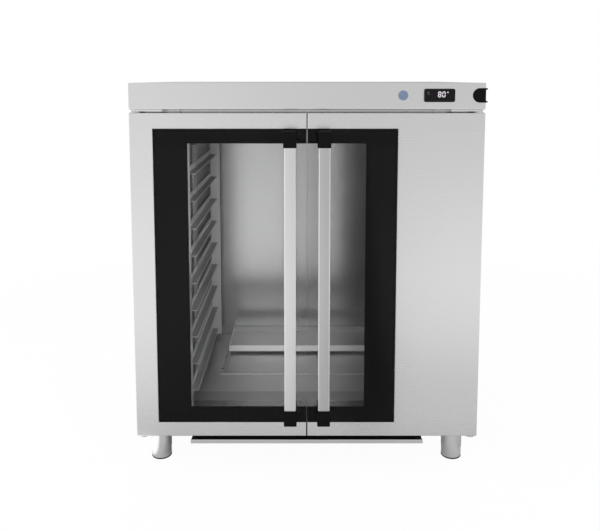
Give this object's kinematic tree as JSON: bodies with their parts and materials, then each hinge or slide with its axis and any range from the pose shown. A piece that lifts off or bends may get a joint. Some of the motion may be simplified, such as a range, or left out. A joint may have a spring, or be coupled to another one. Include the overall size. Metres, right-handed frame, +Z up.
{
  "type": "dough proofer",
  "caption": "Free-standing stainless proofing cabinet with overlay glass doors, bar handles, tray rails, water pan, fan, panel thermostat, push button and drip gutter.",
  "frame": {"origin": "on the floor, at the middle of the overall width and depth", "axes": "+Z up, +Y to the back, +X to the right as seen from the front; the doors face -Y"},
  "size_m": [0.8635, 0.7136, 0.979],
  "materials": {
    "case_steel": "brushed stainless steel sheet",
    "chamber_steel": "satin stainless steel sheet",
    "leg_steel": "polished stainless tube",
    "handle_steel": "satin stainless bar",
    "zinc_sheet": "galvanised sheet",
    "pin_steel": "turned steel",
    "heater_tube": "oxidised heater tube",
    "motor_paint": "black painted motor can",
    "wheel_sheet": "pressed aluminium",
    "mineral_wool": "mineral wool slab",
    "window_glass": "clear toughened glass",
    "black_enamel": "black enamel band behind the glass",
    "seal_rubber": "black silicone seal",
    "bush_nylon": "white nylon",
    "cap_plastic": "black moulded plastic",
    "gutter_black": "black coated sheet",
    "thermostat_plastic": "black smoked front",
    "case_plastic": "black plastic",
    "button_blue": "blue translucent cap",
    "terminal_plastic": "pale plastic",
    "relay_aluminium": "extruded heat sink"
  },
  "bodies": {
    "cabinet": {"left_side_panel": "case_steel", "right_side_panel": "case_steel", "back_panel": "case_steel", "base_pan": "case_steel", "top_cover": "case_steel", "control_fascia": "case_steel", "roof_plate": "zinc_sheet", "left_front_post": "chamber_steel", "right_front_post": "chamber_steel", "front_header": "chamber_steel", "front_sill": "chamber_steel", "left_liner": "chamber_steel", "right_liner": "chamber_steel", "back_liner": "chamber_steel", "floor_liner": "chamber_steel", "ceiling_liner": "chamber_steel", "insulation_slabs": "mineral_wool", "left_duct_panel": "chamber_steel", "right_duct_panel": "chamber_steel", "left_tray_rack": "chamber_steel", "right_tray_rack": "chamber_steel", "pan_guides": "chamber_steel", "pan_heater": "heater_tube", "fan_motor": "motor_paint", "fan_grille": "chamber_steel", "ring_heater": "heater_tube", "temperature_probe": "pin_steel", "thermostat_case": "case_plastic", "thermostat_front": "thermostat_plastic", "button_switch": "case_plastic", "corner_port": "cap_plastic", "terminal_block": "terminal_plastic", "power_relay": "relay_aluminium", "cable_gland": "case_plastic", "leg_tubes": "leg_steel", "levelling_feet": "leg_steel", "hinge_plates": "case_steel", "hinge_pins": "pin_steel", "gutter_runners": "zinc_sheet"},
    "left_door": {"left_door_frame": "case_steel", "left_door_back": "chamber_steel", "left_door_glass": "window_glass", "left_glass_surround": "black_enamel", "left_door_gasket": "seal_rubber", "left_door_bushes": "bush_nylon", "left_handle_bar": "handle_steel", "left_handle_caps": "cap_plastic"},
    "right_door": {"right_door_frame": "case_steel", "right_door_back": "chamber_steel", "right_door_glass": "window_glass", "right_glass_surround": "black_enamel", "right_door_gasket": "seal_rubber", "right_door_bushes": "bush_nylon", "right_handle_bar": "handle_steel", "right_handle_caps": "cap_plastic"},
    "drip_gutter": {"drip_gutter": "gutter_black", "gutter_lip": "case_steel"},
    "water_pan": {"water_pan": "chamber_steel"},
    "push_button": {"push_button": "button_blue"},
    "fan_wheel": {"fan_wheel": "wheel_sheet"}
  },
  "joints": [
    {"name": "left_door_hinge", "type": "hinge", "parent": "cabinet", "child": "left_door", "pos_m": [-0.417, -0.28525, 0.089], "axis": [0, 0, -1], "range_deg": [0, 110]},
    {"name": "right_door_hinge", "type": "hinge", "parent": "cabinet", "child": "right_door", "pos_m": [0.417, -0.28525, 0.089], "axis": [0, 0, 1], "range_deg": [0, 110]},
    {"name": "gutter_slide", "type": "slide", "parent": "cabinet", "child": "drip_gutter", "axis": [0, -1, 0], "range_m": [0, 0.07]},
    {"name": "pan_slide", "type": "slide", "parent": "cabinet", "child": "water_pan", "axis": [0, -1, 0], "range_m": [0, 0.15]},
    {"name": "button_press", "type": "slide", "parent": "cabinet", "child": "push_button", "axis": [0, 1, 0], "range_m": [0, 0.0025], "stiffness_N_per_m": 400, "springref_m": -0.002},
    {"name": "fan_spin", "type": "hinge", "parent": "cabinet", "child": "fan_wheel", "pos_m": [0.3738, 0.02275, 0.524], "axis": [1, 0, 0], "continuous": true}
  ]
}
